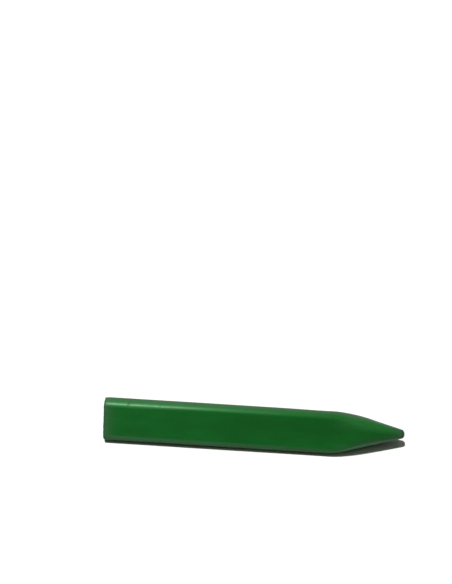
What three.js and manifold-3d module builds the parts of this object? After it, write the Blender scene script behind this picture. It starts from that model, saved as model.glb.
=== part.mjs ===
// A moulded wax crayon: a triangular stick with three rounded long edges and a conical point.
//
// Units are millimetres. +X runs along the stick towards its point and +Z is up. One of the three
// flat sides lies on z = 0, and the origin is on that plane, under the middle of the stick.

import * as THREE from 'three';
import { mergeVertices } from 'three/addons/utils/BufferGeometryUtils.js';
import Module from 'manifold-3d';

// ---- Driving dimensions ----

const LENGTH = 90; // rear face to the end of the nose
const SIDE = 16.5; // side of the triangular section at the rear, taken to its sharp corners
const EDGE_RADIUS = 2.35; // rounding of the three long edges at the rear
const DRAFT = 0.014; // how much smaller the section gets from the rear to the nose, as a share
const TIP_LENGTH = 20.9; // end of the nose back to where the cone starts on the long edges
const NOSE_FLAT_RADIUS = 0.3; // small flat at the very end of the cone
const NOSE_CORNER_RADIUS = 1.2; // rounding between that flat and the cone

const WAX_COLOUR = 0x1a5a26; // dark green
const WAX_ROUGHNESS = 0.45;

// Straight pieces that stand for each round stretch
const EDGE_ARC_DIVISIONS = 6;
const NOSE_ARC_DIVISIONS = 4;
const CONE_SEGMENTS = 96;

// How far the turned envelope reaches past the stick, where it isn't meant to cut
const CLEARANCE = 2;

// ---- Sizes that follow from them ----

const MID_TO_FLAT = SIDE / (2 * Math.sqrt(3)); // centre line to a flat side
const MID_TO_CREST = SIDE / Math.sqrt(3) - EDGE_RADIUS; // centre line to the crest of a long edge
const MID_TO_EDGE_CENTRE = MID_TO_CREST - EDGE_RADIUS; // centre line to the centre of its rounding

// Size of the section at a distance from the rear, as a share of its size at the rear.
function sectionScale(fromRear) {
  return 1 - DRAFT * (fromRear / LENGTH);
}

// The angle between the cone's side and its centre line. The cone runs from the crests of the
// long edges, a tip's length behind the nose, to a tangent on the nose's rounding.
function coneHalfAngle() {
  const crestRadius = MID_TO_CREST * sectionScale(LENGTH - TIP_LENGTH);
  const rise = crestRadius - NOSE_FLAT_RADIUS;
  const run = TIP_LENGTH - NOSE_CORNER_RADIUS;
  return Math.atan2(rise, run) - Math.asin(NOSE_CORNER_RADIUS / Math.hypot(rise, run));
}

// ---- Solids ----

const wasm = await Module();
wasm.setup();

function toManifold(geometry) {
  const bare = geometry.clone();
  bare.deleteAttribute('normal');
  bare.deleteAttribute('uv');
  const merged = mergeVertices(bare);
  return new wasm.Manifold(new wasm.Mesh({
    numProp: 3,
    vertProperties: new Float32Array(merged.attributes.position.array),
    triVerts: new Uint32Array(merged.index.array),
  }));
}

function toGeometry(solid) {
  const { vertProperties, triVerts } = solid.getMesh();
  const geometry = new THREE.BufferGeometry();
  geometry.setAttribute('position', new THREE.BufferAttribute(vertProperties, 3));
  geometry.setIndex(new THREE.BufferAttribute(triVerts, 1));
  geometry.computeVertexNormals();
  return geometry;
}

// The rounded triangle at the rear, point up, with its flat base on the section's own x axis.
function stickSection() {
  const section = new THREE.Shape();
  for (let corner = 0; corner < 3; corner++) {
    const direction = Math.PI / 2 + corner * (2 * Math.PI / 3);
    section.absarc(
      MID_TO_EDGE_CENTRE * Math.cos(direction),
      MID_TO_FLAT + MID_TO_EDGE_CENTRE * Math.sin(direction),
      EDGE_RADIUS,
      direction - Math.PI / 3,
      direction + Math.PI / 3,
      false,
    );
  }
  return section;
}

// The whole stick before it is pointed. The section shrinks towards the nose about the middle of
// its base, so that the base stays flat on z = 0.
function triangularStick() {
  const geometry = new THREE.ExtrudeGeometry(stickSection(), {
    depth: LENGTH,
    curveSegments: EDGE_ARC_DIVISIONS,
    bevelEnabled: false,
  });
  const sectionX = new THREE.Vector3(0, 1, 0);
  const sectionY = new THREE.Vector3(0, 0, 1);
  const along = new THREE.Vector3(1, 0, 0);
  geometry.applyMatrix4(new THREE.Matrix4().makeBasis(sectionX, sectionY, along));
  const position = geometry.attributes.position;
  for (let i = 0; i < position.count; i++) {
    const scale = sectionScale(position.getX(i));
    position.setY(i, position.getY(i) * scale);
    position.setZ(i, position.getZ(i) * scale);
  }
  return geometry;
}

// A round envelope that points the stick: the cone and nose, and a wide cylinder behind them.
function pointEnvelope() {
  const halfAngle = coneHalfAngle();
  const wideRadius = MID_TO_CREST + CLEARANCE;
  const noseCentre = LENGTH - NOSE_CORNER_RADIUS;
  const coneEndRadius = NOSE_FLAT_RADIUS + NOSE_CORNER_RADIUS * Math.cos(halfAngle);
  const coneEnd = noseCentre + NOSE_CORNER_RADIUS * Math.sin(halfAngle);
  const coneStart = coneEnd - (wideRadius - coneEndRadius) / Math.tan(halfAngle);

  const profile = new THREE.Path();
  profile.moveTo(0, -CLEARANCE);
  profile.lineTo(wideRadius, -CLEARANCE);
  profile.lineTo(wideRadius, coneStart);
  profile.absarc(NOSE_FLAT_RADIUS, noseCentre, NOSE_CORNER_RADIUS, halfAngle, Math.PI / 2, false);
  profile.lineTo(0, LENGTH);

  const geometry = new THREE.LatheGeometry(profile.getPoints(NOSE_ARC_DIVISIONS), CONE_SEGMENTS);
  geometry.rotateZ(-Math.PI / 2);
  geometry.translate(0, 0, MID_TO_FLAT * sectionScale(LENGTH - TIP_LENGTH));
  return geometry;
}

// The crayon is one piece of wax all through. Each flat side ends in a rounded scallop where the
// cone cuts it, and the long edges run further back from the nose than the flats do.
function waxStick() {
  const solid = toManifold(triangularStick()).intersect(toManifold(pointEnvelope()));
  const geometry = toGeometry(solid);
  geometry.translate(-LENGTH / 2, 0, 0);
  const material = new THREE.MeshStandardMaterial({
    color: WAX_COLOUR,
    roughness: WAX_ROUGHNESS,
    metalness: 0,
  });
  const mesh = new THREE.Mesh(geometry, material);
  mesh.name = 'wax_stick';
  return mesh;
}

const crayon = new THREE.Group();
crayon.add(waxStick());

export default crayon;
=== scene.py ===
"""A triangular wax crayon lying on a pale floor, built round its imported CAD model.

Everything is in metres in the CAD frame: +X along the stick towards its point, +Z up, and the flat
side that the crayon lies on at z = 0. The wax's pattern is the one thing worked out in millimetres.
"""

import math
from functools import reduce

import bpy
import numpy as np
from mathutils import Euler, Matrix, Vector, noise


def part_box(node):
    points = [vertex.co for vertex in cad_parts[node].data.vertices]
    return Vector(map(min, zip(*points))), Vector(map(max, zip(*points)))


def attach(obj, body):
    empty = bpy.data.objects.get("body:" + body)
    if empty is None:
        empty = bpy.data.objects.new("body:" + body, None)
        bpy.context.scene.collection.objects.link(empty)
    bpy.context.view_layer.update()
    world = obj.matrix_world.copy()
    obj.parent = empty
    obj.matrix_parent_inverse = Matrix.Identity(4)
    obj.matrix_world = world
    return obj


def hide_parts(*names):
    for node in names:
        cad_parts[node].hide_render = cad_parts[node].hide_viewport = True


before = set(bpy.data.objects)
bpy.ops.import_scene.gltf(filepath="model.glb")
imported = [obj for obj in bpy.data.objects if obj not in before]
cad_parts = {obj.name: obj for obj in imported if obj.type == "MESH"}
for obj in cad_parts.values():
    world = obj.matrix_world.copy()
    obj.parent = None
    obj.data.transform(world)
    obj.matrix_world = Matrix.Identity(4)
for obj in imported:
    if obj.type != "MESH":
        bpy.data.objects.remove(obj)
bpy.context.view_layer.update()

MM = 0.001

# ---- The crayon's shape: its length and height are the CAD model's ----

STICK_NODE = "wax_stick"
STICK_LOW, STICK_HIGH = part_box(STICK_NODE)
LENGTH = STICK_HIGH.x - STICK_LOW.x
HEIGHT = STICK_HIGH.z - STICK_LOW.z
EDGE_RADIUS = 2.35 * MM  # rounding of the three long edges
DRAFT = 0.014  # how much smaller the section gets from the rear to the nose, as a share
TIP_LENGTH = 20.9 * MM  # end of the nose back to where the cone starts on the long edges
NOSE_FLAT = 0.28 * MM  # radius of the small flat at the very end of the cone
NOSE_CORNER = 1.20 * MM  # rounding between that flat and the cone
SHOULDER_BLEND = 0.8 * MM  # softness of the line where the cone meets the stick

SIDE = (HEIGHT + EDGE_RADIUS) * 2 / math.sqrt(3)  # side of the section, to its sharp corners
MID_TO_FLAT = SIDE / (2 * math.sqrt(3))  # centre line to a flat side
MID_TO_CREST = SIDE / math.sqrt(3) - EDGE_RADIUS  # centre line to the crest of a long edge
MID_TO_EDGE_CENTRE = MID_TO_CREST - EDGE_RADIUS  # centre line to the centre of its rounding

# ---- Marks of casting. A stretch is how many times longer a mark is along the stick than across ----

WAVE_DEPTH, WAVE_SIZE, WAVE_STRETCH = 0.05 * MM, 7 * MM, 3.0
GROOVE_DEPTH, GROOVE_SIZE, GROOVE_STRETCH = 0.012 * MM, 0.7 * MM, 30.0
CONE_HOLLOW = 0.12 * MM  # the cone has shrunk in a little half way along
NOSE_LEAN = (0.66 * MM, -0.64 * MM)  # y and z that the nose is off centre
LEAN_POWER = 2.6  # how late along the cone the lean comes

# ---- Wear of the top edge ----

CREST_WEAR = 0.22 * MM  # rubbed off its crest
CREST_WEAR_AT_REAR = 0.33 * MM
CREST_WEAR_REACH = 30 * MM  # from the rear to where only CREST_WEAR is gone
CREST_WEAR_TURN = math.radians(52)  # how far it goes round the rounding, each way
DIP_PLACE, DIP_WIDTH, DIP_DEPTH = 65 * MM, 8 * MM, 0.15 * MM  # a shallow dip behind the cone
# Small cuts across it: distance from the rear, width along the stick and depth
NICKS = ((7.8 * MM, 0.13 * MM, 0.07 * MM), (17.4 * MM, 0.11 * MM, 0.04 * MM))
NICK_SLANT = 0.25
NICK_RAGGEDNESS, NICK_RAGGED_SIZE = 0.1 * MM, 0.9 * MM

# ---- The crumbly rear end ----

RIM_ROUNDING = (0.10 * MM, 0.35 * MM)  # least and most
RIM_LOOP, RIM_BLOB = 3, 0.55  # it follows noise with blobs this big round a loop of this radius
CRUMB_DEPTH, CRUMB_SIZE, CRUMB_REACH = 0.55 * MM, 0.8 * MM, 1.6 * MM
CRUMB_THRESHOLD = 0.12  # a crumb has come away only where the noise is higher
PIT_DEPTH, PIT_SIZE, FINE_PIT_SIZE, PIT_REACH = 0.12 * MM, 0.9 * MM, 0.35 * MM, 0.6 * MM

# ---- Fineness of the mesh ----

COLUMNS_PER_EDGE = 34  # points round each rounded edge
COLUMNS_PER_FLAT = 26  # points across each flat side
REAR_FACE_RINGS = 26
RIM_RINGS = 6
BODY_RINGS = 300
BODY_CROWDING = 1.15  # over 1, the rings lie closer together towards the rear
TIP_RINGS = 90
TIP_RINGS_LEAD = 4 * MM  # how far behind the cone its finer rings start
NOSE_RINGS = 12
NOSE_FLAT_RINGS = 2

# ---- Colours and finish of the wax ----

# The point's colours are deeper than the rear's: painted shade, for light that is brighter at the rear.
LIGHT_AT_REAR = (0.0038, 0.080, 0.0100, 1)
LIGHT_AT_POINT = (0.0038, 0.071, 0.0090, 1)
DEEP_AT_REAR = (0.0029, 0.066, 0.0076, 1)
DEEP_AT_POINT = (0.0029, 0.058, 0.0071, 1)
MOTTLED = (0.008, 0.090, 0.016, 1)
STREAKED = (0.015, 0.094, 0.023, 1)
# Painted light: the top of the cone is painted lighter and greyer, as lit from above with a sheen.
PAINTED_CONE_LIGHT = (0.0095, 0.076, 0.0145, 1)
# Painted sheen: the backs of the cone and crest are painted grey, as the wax's sheen seen edge-on.
PAINTED_BACK_SHEEN = (0.036, 0.079, 0.042, 1)
# Painted reflection: the low edges and the foot of the cone are painted lighter, as the lit floor
# reflected in them.
PAINTED_FLOOR_REFLECTION = (0.034, 0.130, 0.050, 1)
# The crest: partly rubbed wax, partly painted sheen, lighter and greyer near the rear.
CREST = (0.028, 0.098, 0.035, 1)
# Painted highlight: a pale band under the crest near the rear, the lower tail of its highlight.
PAINTED_HIGHLIGHT_TAIL = (0.029, 0.124, 0.041, 1)
DUST = (0.035, 0.093, 0.041, 1)
# Painted shade: a dark line round the rear rim.
PAINTED_RIM_SHADE = (0.020, 0.044, 0.022, 1)
REAR_FACE = ((0.17, 0.28, 0.185, 1), (0.21, 0.33, 0.225, 1))
REAR_FLECKS = ((0.035, 0.105, 0.045, 1), (0.30, 0.40, 0.31, 1))
DULL_POINT = (0.016, 0.056, 0.021, 1)
# Painted shade: the very end of the nose, which faces away from the light.
PAINTED_NOSE_SHADE = (0.016, 0.033, 0.016, 1)
NOSE_SPECKS = (0.050, 0.095, 0.055, 1)

# What is the same all over the wax, by the names of the shader's sockets
WAX_FINISH = {
    "Anisotropic": 0.75,
    "IOR": 1.25,
    "Specular IOR Level": 0.38,
    "Specular Tint": (0.48, 1.0, 0.56, 1),
    "Sheen Weight": 0.15,
    "Sheen Roughness": 0.4,
    "Sheen Tint": (0.85, 1.0, 0.88, 1),
    "Subsurface Weight": 0.08,
    "Subsurface Radius": (0.3, 1.0, 0.4),
    "Subsurface Scale": 0.8 * MM,
}

# ---- Camera, light and floor ----

CAMERA_PLACE = Vector((3.24, -167.42, 178.6)) * MM
CAMERA_PITCH = math.radians(36.567)  # below the horizon
CAMERA_HEADING = math.radians(4.125)  # left of +Y
CAMERA_ROLL = math.radians(0.50)
FOCAL_PIXELS = 789.8
IMAGE_HEIGHT = 584
SENSOR = 36.0

KEY_FROM = Vector((-0.18, -0.01, 1.0))
KEY_IRRADIANCE = 5.5
KEY_ANGLE = math.radians(4)
FILL_RADIANCE = 0.5
FILL_SIZE = 1.2
FILL_PLACE = (0, 0, 1.0)
ROOM_RADIANCE = 0.075
ROOM_COLOUR = (0.95, 1.0, 0.86)

FLOOR_SIZE = 40
FLOOR_FINISH = {"Base Color": (0.57, 0.57, 0.57, 1), "Roughness": 0.9, "Specular IOR Level": 0.2}


# ---- The stick's section and its point ----

def unit(angle):
    """Unit vectors (y, z) at angles from +Y towards +Z."""
    return np.stack([np.cos(angle), np.sin(angle)], -1)


def section_points():
    """Points (y, z from the centre line) round the rear section, evenly spaced along each stretch."""
    points = []
    for corner in range(3):
        direction = math.pi / 2 + corner * 2 * math.pi / 3
        turn = direction + np.linspace(-math.pi / 3, math.pi / 3, COLUMNS_PER_EDGE)
        arc = MID_TO_EDGE_CENTRE * unit(direction) + EDGE_RADIUS * unit(turn)
        following = direction + 2 * math.pi / 3
        flat_end = MID_TO_EDGE_CENTRE * unit(following) + EDGE_RADIUS * unit(following - math.pi / 3)
        share = np.linspace(0, 1, COLUMNS_PER_FLAT + 2)[1:-1, None]
        points += [arc, arc[-1] + (flat_end - arc[-1]) * share]
    return np.concatenate(points)


SECTION = section_points()
SECTION_RADIUS = np.hypot(SECTION[:, 0], SECTION[:, 1])
SECTION_DIRECTION = SECTION / SECTION_RADIUS[:, None]
COLUMNS = len(SECTION)


def section_scale(from_rear):
    return 1 - DRAFT * from_rear / LENGTH


def cone_half_angle():
    rise = MID_TO_CREST * section_scale(LENGTH - TIP_LENGTH) - NOSE_FLAT
    run = TIP_LENGTH - NOSE_CORNER
    return math.atan2(rise, run) - math.asin(NOSE_CORNER / math.hypot(rise, run))


CONE_ANGLE = cone_half_angle()
CONE_END = NOSE_CORNER * (1 - math.sin(CONE_ANGLE))  # distance from the nose's end


def envelope_radius(from_nose):
    """Radius of the cone and nose that point the stick, at distances from the nose's end."""
    into_nose = np.clip(NOSE_CORNER - from_nose, 0, NOSE_CORNER)
    nose = NOSE_FLAT + np.sqrt(NOSE_CORNER**2 - into_nose**2)
    cone_end_radius = NOSE_FLAT + NOSE_CORNER * math.cos(CONE_ANGLE)
    cone = cone_end_radius + (from_nose - CONE_END) * math.tan(CONE_ANGLE)
    return np.where(from_nose < CONE_END, nose, cone)


# ---- Mesh ----

def soft_minimum(a, b, blend):
    overlap = np.maximum(blend - np.abs(a - b), 0) / blend
    return np.minimum(a, b) - overlap * overlap * blend / 4


def fading(distance, reach):
    """1 at no distance, falling evenly to 0 at the reach."""
    return np.clip(1 - distance / reach, 0, 1)


def hump(distance, width):
    """1 at no distance, falling smoothly to nothing in about twice the width."""
    return np.exp(-((distance / width) ** 2))


def noise_at(points, size, seed, stretch=1.0):
    """Smooth noise, about -1 to 1. Its blobs are size across, and stretch times longer along X."""
    scaled = points / size
    scaled[:, 0] /= stretch
    scaled += np.array([17.31, 9.17, 5.73]) * seed
    return np.array([noise.noise(Vector(p)) for p in scaled])


def rim_rounding():
    """How far the rear rim is rounded over, in each column."""
    loop = np.zeros((COLUMNS, 3))
    loop[:, :2] = RIM_LOOP * SECTION_DIRECTION
    low, high = RIM_ROUNDING
    return low + (high - low) * np.clip(noise_at(loop, RIM_BLOB, 4) * 0.9 + 0.45, 0, 1)


def ring_layout():
    """For each ring from the rear face to the nose: distance from the rear and inset from the
    surface for every column, and its share of the radius."""
    rim = rim_rounding()
    flat = np.zeros(COLUMNS)
    tip_start = LENGTH - TIP_LENGTH - TIP_RINGS_LEAD
    tip_end = LENGTH - CONE_END
    rings = []
    for i in range(1, REAR_FACE_RINGS + 1):
        rings.append((flat, rim, i / (REAR_FACE_RINGS + 1)))
    for i in range(RIM_RINGS + 1):
        turn = math.pi / 2 * i / RIM_RINGS
        rings.append((rim * (1 - math.cos(turn)), rim * (1 - math.sin(turn)), 1))
    for i in range(1, BODY_RINGS + 1):
        rings.append((rim + (tip_start - rim) * (i / BODY_RINGS) ** BODY_CROWDING, flat, 1))
    for i in range(1, TIP_RINGS + 1):
        rings.append((flat + tip_start + (tip_end - tip_start) * i / TIP_RINGS, flat, 1))
    for i in range(1, NOSE_RINGS + 1):
        turn = CONE_ANGLE + (math.pi / 2 - CONE_ANGLE) * i / NOSE_RINGS
        rings.append((flat + LENGTH - NOSE_CORNER * (1 - math.sin(turn)), flat, 1))
    for i in range(1, NOSE_FLAT_RINGS):
        rings.append((flat + LENGTH, flat, 1 - i / NOSE_FLAT_RINGS))
    along, inset, share = zip(*rings)
    return np.array(along), np.array(inset), np.array(share)[:, None]


def wear_depth(points):
    """How far the surface has gone inwards: casting waves and drag grooves, a crumbly rear end,
    and a worn, dipped and nicked top edge."""
    from_rear = points[:, 0]
    depth = WAVE_DEPTH * (0.5 + 0.5 * noise_at(points, WAVE_SIZE, 1, WAVE_STRETCH))
    depth += GROOVE_DEPTH * (0.5 + 0.5 * noise_at(points, GROOVE_SIZE, 2, GROOVE_STRETCH))

    crumbs = np.maximum(noise_at(points, CRUMB_SIZE, 3) - CRUMB_THRESHOLD, 0)
    depth += CRUMB_DEPTH * crumbs * fading(from_rear, CRUMB_REACH) ** 1.5

    above_edge_centre = points[:, 2] - MID_TO_EDGE_CENTRE
    turn = np.arctan2(np.abs(points[:, 1]), above_edge_centre) / CREST_WEAR_TURN
    more_at_rear = (CREST_WEAR_AT_REAR - CREST_WEAR) * fading(from_rear, CREST_WEAR_REACH)
    depth += (CREST_WEAR + more_at_rear) * np.clip(1 - turn**2, 0, 1) ** 2

    # The dip spreads onto the flat sides, and the nicks stay on the crest.
    up_rounding = above_edge_centre / EDGE_RADIUS
    depth += DIP_DEPTH * np.clip(0.3 + up_rounding, 0, 1) * hump(from_rear - DIP_PLACE, DIP_WIDTH)
    on_crest = np.clip((up_rounding - 0.6) / 0.25, 0, 1)
    slant = NICK_SLANT * points[:, 1] + NICK_RAGGEDNESS * noise_at(points, NICK_RAGGED_SIZE, 7)
    for place, width, nick_depth in NICKS:
        depth += nick_depth * on_crest * hump(from_rear - place - slant, width)
    return depth


def rear_pits(points):
    """How deep the rear face is pitted."""
    pits = 0.5 + 0.5 * noise_at(points, PIT_SIZE, 5) + 0.35 * noise_at(points, FINE_PIT_SIZE, 6)
    return PIT_DEPTH * fading(points[:, 0], PIT_REACH) * np.clip(pits, 0, 1.5) / 1.5


def stick_points():
    """Rings of points between two end points, with x from the rear and z from the centre line."""
    along, inset, share = ring_layout()
    stick = SECTION_RADIUS * section_scale(along)
    radius = (soft_minimum(stick, envelope_radius(LENGTH - along), SHOULDER_BLEND) - inset) * share
    points = np.concatenate([along[..., None], radius[..., None] * SECTION_DIRECTION], -1).reshape(-1, 3)
    inward = np.zeros((len(along), COLUMNS, 3))
    inward[..., 1:] = -SECTION_DIRECTION * share[..., None]
    inward = inward.reshape(-1, 3)

    points += inward * wear_depth(points)[:, None]
    into_tip = fading(LENGTH - points[:, 0], TIP_LENGTH)
    points += inward * (CONE_HOLLOW * np.sin(math.pi * into_tip))[:, None]
    points[:, 1:] += into_tip[:, None] ** LEAN_POWER * NOSE_LEAN
    points[:, 0] += rear_pits(points)
    return np.concatenate([[[0.5 * PIT_DEPTH, 0, 0]], points, [[LENGTH, *NOSE_LEAN]]])


def stick_faces(rings):
    """Quads between neighbouring rings, and triangles from each end's ring to its end point."""
    faces = []
    last_ring = 1 + (rings - 1) * COLUMNS
    for column in range(COLUMNS):
        following = (column + 1) % COLUMNS
        faces.append((0, 1 + following, 1 + column))
        for here in range(1, last_ring, COLUMNS):
            beyond = here + COLUMNS
            faces.append((here + column, here + following, beyond + following, beyond + column))
        faces.append((last_ring + column, last_ring + following, last_ring + COLUMNS))
    return faces


def add_to_scene(name, data):
    thing = bpy.data.objects.new(name, data)
    bpy.context.scene.collection.objects.link(thing)
    return thing


def build_stick():
    points = stick_points()
    # The base stays level while the section shrinks; the cone keeps the height it starts at.
    points[:, 2] += MID_TO_FLAT * section_scale(np.minimum(points[:, 0], LENGTH - TIP_LENGTH))
    points[:, 2] = np.maximum(points[:, 2], 0)
    points[:, 0] += STICK_LOW.x
    mesh = bpy.data.meshes.new("crayon_stick")
    mesh.from_pydata(points.tolist(), [], stick_faces(len(points) // COLUMNS))
    mesh.polygons.foreach_set("use_smooth", [True] * len(mesh.polygons))
    mesh.update()
    return add_to_scene("crayon_stick", mesh)


# ---- Materials ----

class Nodes:
    """Short names for adding and joining shader nodes."""

    def __init__(self, material):
        material.use_nodes = True
        self.tree = material.node_tree
        self.shader = self.tree.nodes["Principled BSDF"]

    def put(self, socket, value):
        if isinstance(value, bpy.types.NodeSocket):
            self.tree.links.new(value, socket)
        else:
            socket.default_value = value

    def set_shader(self, values):
        for name, value in values.items():
            self.put(self.shader.inputs[name], value)

    def add(self, kind, **inputs):
        node = self.tree.nodes.new(kind)
        for name, value in inputs.items():
            self.put(node.inputs[name.replace("_", " ")], value)
        return node

    def math(self, operation, *values):
        node = self.tree.nodes.new("ShaderNodeMath")
        node.operation = operation
        for socket, value in zip(node.inputs, values):
            self.put(socket, value)
        return node.outputs[0]

    def product(self, *values):
        return reduce(lambda a, b: self.math("MULTIPLY", a, b), values)

    def total(self, *values):
        return reduce(lambda a, b: self.math("ADD", a, b), values)

    def scaled(self, vector, scale):
        return self.add("ShaderNodeMapping", Vector=vector, Scale=scale).outputs[0]

    def noise(self, vector, scale, detail=3.0, roughness=0.55):
        return self.add("ShaderNodeTexNoise", Vector=vector, Scale=scale, Detail=detail,
                        Roughness=roughness).outputs["Fac"]

    def ramp(self, value, low, high, to_low=0.0, to_high=1.0, smooth=True):
        """Goes from to_low to to_high as the value goes from low to high, and no further."""
        node = self.add("ShaderNodeMapRange", Value=value, From_Min=low, From_Max=high,
                        To_Min=to_low, To_Max=to_high)
        node.interpolation_type = "SMOOTHSTEP" if smooth else "LINEAR"
        return node.outputs[0]

    def mix(self, share, a, b):
        """Colour a where the share is 0, and colour b where it is 1."""
        node = self.tree.nodes.new("ShaderNodeMix")
        node.data_type = "RGBA"
        for name, value in (("Factor_Float", share), ("A_Color", a), ("B_Color", b)):
            socket = next(s for s in node.inputs if s.identifier == name)
            self.put(socket, value)
        return next(s for s in node.outputs if s.identifier == "Result_Color")

    def bump(self, height, distance, normal=None):
        node = self.add("ShaderNodeBump", Height=height, Distance=distance, Strength=1.0)
        if normal is not None:
            self.put(node.inputs["Normal"], normal)
        return node.outputs[0]


class WaxNodes(Nodes):
    """The wax's nodes, with the distances in millimetres and the patterns that its marks share."""

    def __init__(self, material):
        super().__init__(material)
        self.place = self.scaled(self.add("ShaderNodeTexCoord").outputs["Object"], (1 / MM,) * 3)
        x, self.y, self.z = self.add("ShaderNodeSeparateXYZ", Vector=self.place).outputs
        self.from_rear = self.math("SUBTRACT", x, STICK_LOW.x / MM)
        self.from_nose = self.math("SUBTRACT", STICK_HIGH.x / MM, x)
        self.above_mid = self.math("SUBTRACT", self.z, MID_TO_FLAT / MM)
        squared = self.total(self.product(self.y, self.y), self.product(self.above_mid, self.above_mid))
        self.from_mid = self.math("SQRT", squared)

        self.mottle = self.noise(self.place, 1.7, 4)
        self.streaks = self.noise(self.scaled(self.place, (0.06, 1, 1)), 2.2, 5, 0.6)
        self.ragged = self.math("SUBTRACT", self.noise(self.place, 1.3, 4), 0.5)
        self.rear_edge = self.total(self.from_rear, self.product(self.ragged, 0.5))
        self.rear_face = self.ramp(self.from_rear, 0.10, 0.16, 1, 0)


def base_wax_and_shade(n):
    """Cloudy, mottled and streaked green, slightly deeper towards the point: painted shade, for light
    that is brighter at the rear.
    """
    # Painted shade: the wax gets deeper towards the point.
    towards_point = n.ramp(n.from_rear, 8, 80)
    light = n.mix(towards_point, LIGHT_AT_REAR, LIGHT_AT_POINT)
    deep = n.mix(towards_point, DEEP_AT_REAR, DEEP_AT_POINT)
    cloud = n.noise(n.scaled(n.place, (0.35, 1, 1)), 0.16, 3)
    green = n.mix(n.ramp(cloud, 0.35, 0.68), deep, light)
    green = n.mix(n.ramp(n.mottle, 0.50, 0.78, 0, 0.25), green, MOTTLED)
    return n.mix(n.ramp(n.streaks, 0.56, 0.74, 0, 0.16), green, STREAKED)


def painted_light_and_rubbed_wax(n, green):
    """Painted light on the cone and the long edges, with some rubbing. The cone's top is painted lighter,
    as lit from above; the backs of the cone and crest are painted grey, a painted sheen; the low edges
    and the cone's foot are painted lighter, a painted reflection of the floor; under the crest near the
    rear is a painted highlight. The crest itself is partly rubbed wax and partly painted sheen. The edges
    are greyest near the rear.
    """
    on_cone = n.ramp(n.from_nose, 16, 24, 1, 0)
    upwards = n.math("DIVIDE", n.above_mid, n.from_mid)
    backwards = n.math("DIVIDE", n.y, n.from_mid)
    # Painted light: the upward-facing part of the cone.
    cone_top = n.product(on_cone, n.ramp(upwards, 0.60, 0.97))
    green = n.mix(cone_top, green, PAINTED_CONE_LIGHT)
    # Painted sheen on the back of the cone.
    cone_back = n.product(on_cone, n.ramp(backwards, -0.1, 0.5, 0, 0.8), n.ramp(n.above_mid, 0, 1.5))
    green = n.mix(cone_back, green, PAINTED_BACK_SHEEN)

    fade = n.ramp(n.from_rear, 20, 75, 1, 0.5)
    # Painted reflection of the floor on the low edges, kept off the underside.
    low_edge = n.math("POWER", n.ramp(n.from_mid, 6.1, 7.05), 1.5)
    low_edge = n.product(low_edge, n.ramp(n.z, 1.5, 2.6, 0, 0.88), n.ramp(n.z, 4, 5, 1, 0), fade)
    # Painted reflection of the floor on the underside of the cone.
    cone_foot = n.product(on_cone, n.ramp(upwards, -0.6, 0.1, 0.6, 0))
    green = n.mix(n.math("MAXIMUM", low_edge, cone_foot), green, PAINTED_FLOOR_REFLECTION)

    # Partly rubbed wax and partly painted sheen on the crest.
    crest = n.product(n.ramp(n.z, 10.95, 11.5, 0, 0.35), fade)
    green = n.mix(crest, green, CREST)
    # Painted highlight: the lower tail of the crest's highlight near the rear.
    painted_highlight_tail = n.product(n.ramp(n.from_mid, 6.1, 6.85, 0, 0.9), n.ramp(n.y, -1.5, -0.5, 1, 0),
                      n.ramp(n.z, 7, 8), n.ramp(n.from_rear, 6, 32, 1, 0))
    green = n.mix(painted_highlight_tail, green, PAINTED_HIGHLIGHT_TAIL)
    # Painted sheen on the back of the crest.
    crest_back = n.product(n.ramp(n.y, -0.7, 0.9, 0, 0.75), n.ramp(n.z, 8.5, 10.5))
    return n.mix(crest_back, green, PAINTED_BACK_SHEEN)


def dusty_rear_and_rim_shade(n, green):
    """A dusty band that fades away from the rear, and a dark line of painted shade round the broken rim.
    """
    band = n.math("POWER", n.ramp(n.from_rear, 0, 6, 1, 0, smooth=False), 2.5)
    green = n.mix(n.product(band, n.ramp(n.mottle, 0.25, 0.6, 0.55, 0.95)), green, DUST)
    # Painted shade: the dark line round the rear rim.
    return n.mix(n.ramp(n.rear_edge, 0.25, 0.55, 0.7, 0), green, PAINTED_RIM_SHADE)


def rear_face_colour(n):
    """Pale, with light and dark crumbs just inside the rim."""
    to_slopes = n.total(n.product(n.math("ABSOLUTE", n.y), math.sqrt(3) / 2), n.product(n.above_mid, 0.5))
    to_flats = n.math("MAXIMUM", to_slopes, n.product(n.above_mid, -1))
    from_rim = n.math("MINIMUM", n.math("SUBTRACT", MID_TO_FLAT / MM, to_flats),
                      n.math("SUBTRACT", MID_TO_CREST / MM, n.from_mid))
    crumbly = n.product(n.ramp(n.total(from_rim, n.ragged), 0.2, 1.2, 0.85, 0),
                        n.ramp(n.noise(n.place, 0.3, 2), 0.38, 0.62, 0.25, 1))
    pale = n.mix(n.ramp(n.noise(n.place, 0.45, 3), 0.35, 0.65), *REAR_FACE)
    flecks = n.mix(n.ramp(n.noise(n.place, 1.5, 6, 0.7), 0.40, 0.60), *REAR_FLECKS)
    return n.mix(crumbly, pale, flecks)


def dull_point_and_end_shade(n, green):
    """The point: duller, speckled where it rounds over and dark at the very end, where the darkness is
    painted shade.
    """
    nose_edge = n.total(n.from_nose, n.ragged)
    dull = n.math("POWER", n.ramp(nose_edge, 0, 8, 1, 0, smooth=False), 1.6)
    green = n.mix(dull, green, DULL_POINT)
    # Painted shade at the very end of the nose.
    green = n.mix(n.ramp(nose_edge, 0.7, 1.4, 1, 0), green, PAINTED_NOSE_SHADE)
    specks = n.ramp(n.noise(n.place, 3.2, 2), 0.56, 0.64)
    return n.mix(n.product(specks, n.ramp(n.from_nose, 1.2, 3.0, 0.7, 0)), green, NOSE_SPECKS)


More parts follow.
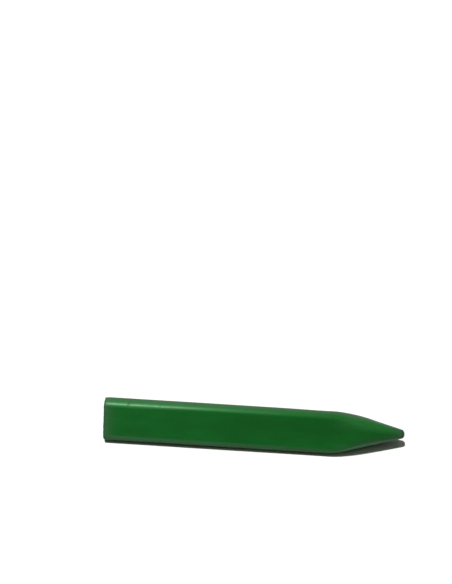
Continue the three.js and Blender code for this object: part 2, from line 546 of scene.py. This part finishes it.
def wax_roughness(n):
    """Streaked and mottled, and much the roughest on the rear face."""
    return n.total(n.ramp(n.streaks, 0.3, 0.7, 0.27, 0.34, smooth=False),
                   n.ramp(n.mottle, 0.4, 0.7, 0, 0.07),
                   n.ramp(n.from_rear, 4, 34, 0.015, 0),
                   n.product(n.rear_face, 0.45))


def wax_normal(n):
    """Fine streaks and grain all over, and crumbs at the rear end."""
    normal = n.bump(n.streaks, 0.010 * MM)
    normal = n.bump(n.noise(n.place, 7.0, 3), 0.003 * MM, normal)
    crumbs = n.product(n.noise(n.place, 3.5, 5, 0.7), n.ramp(n.rear_edge, 0.1, 0.8, 1, 0))
    return n.bump(crumbs, 0.15 * MM, normal)


def wax_material():
    material = bpy.data.materials.new("green_wax")
    n = WaxNodes(material)
    green = dusty_rear_and_rim_shade(n, painted_light_and_rubbed_wax(n, base_wax_and_shade(n)))
    green = n.mix(n.rear_face, green, rear_face_colour(n))
    around = n.add("ShaderNodeTangent")
    around.direction_type = "RADIAL"
    around.axis = "X"
    n.set_shader({"Base Color": dull_point_and_end_shade(n, green), "Roughness": wax_roughness(n),
                  "Normal": wax_normal(n), "Tangent": around.outputs[0]})
    n.set_shader(WAX_FINISH)
    return material


def build_floor():
    bpy.ops.mesh.primitive_plane_add(size=FLOOR_SIZE)
    floor = bpy.context.object
    floor.name = "floor"
    material = bpy.data.materials.new("pale_floor")
    Nodes(material).set_shader(FLOOR_FINISH)
    floor.data.materials.append(material)


# ---- Light and camera ----

def build_light():
    key = bpy.data.lights.new("key", "SUN")
    key.energy = KEY_IRRADIANCE
    key.angle = KEY_ANGLE
    add_to_scene("key", key).rotation_euler = KEY_FROM.to_track_quat("Z", "Y").to_euler()
    fill = bpy.data.lights.new("fill", "AREA")
    fill.size = FILL_SIZE
    fill.color = ROOM_COLOUR
    fill.energy = FILL_RADIANCE * math.pi * FILL_SIZE**2
    add_to_scene("fill", fill).location = FILL_PLACE
    world = bpy.data.worlds.new("studio")
    world.use_nodes = True
    sky = world.node_tree.nodes["Background"]
    sky.inputs["Color"].default_value = (*ROOM_COLOUR, 1)
    sky.inputs["Strength"].default_value = ROOM_RADIANCE
    bpy.context.scene.world = world


def build_camera():
    lens = bpy.data.cameras.new("camera")
    lens.sensor_width = SENSOR
    lens.lens = FOCAL_PIXELS * SENSOR / IMAGE_HEIGHT
    lens.clip_start = 0.01
    camera = add_to_scene("camera", lens)
    camera.location = CAMERA_PLACE
    heading = Euler((0, 0, CAMERA_HEADING)).to_matrix()
    pitch = Euler((math.pi / 2 - CAMERA_PITCH, 0, 0)).to_matrix()
    roll = Euler((0, 0, CAMERA_ROLL)).to_matrix()
    camera.rotation_euler = (heading @ pitch @ roll).to_euler()
    bpy.context.scene.camera = camera


build_camera()
build_light()
build_floor()
stick = build_stick()
stick.data.materials.append(wax_material())
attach(stick, "root")
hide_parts(STICK_NODE)
bpy.context.scene.view_settings.view_transform = "Standard"
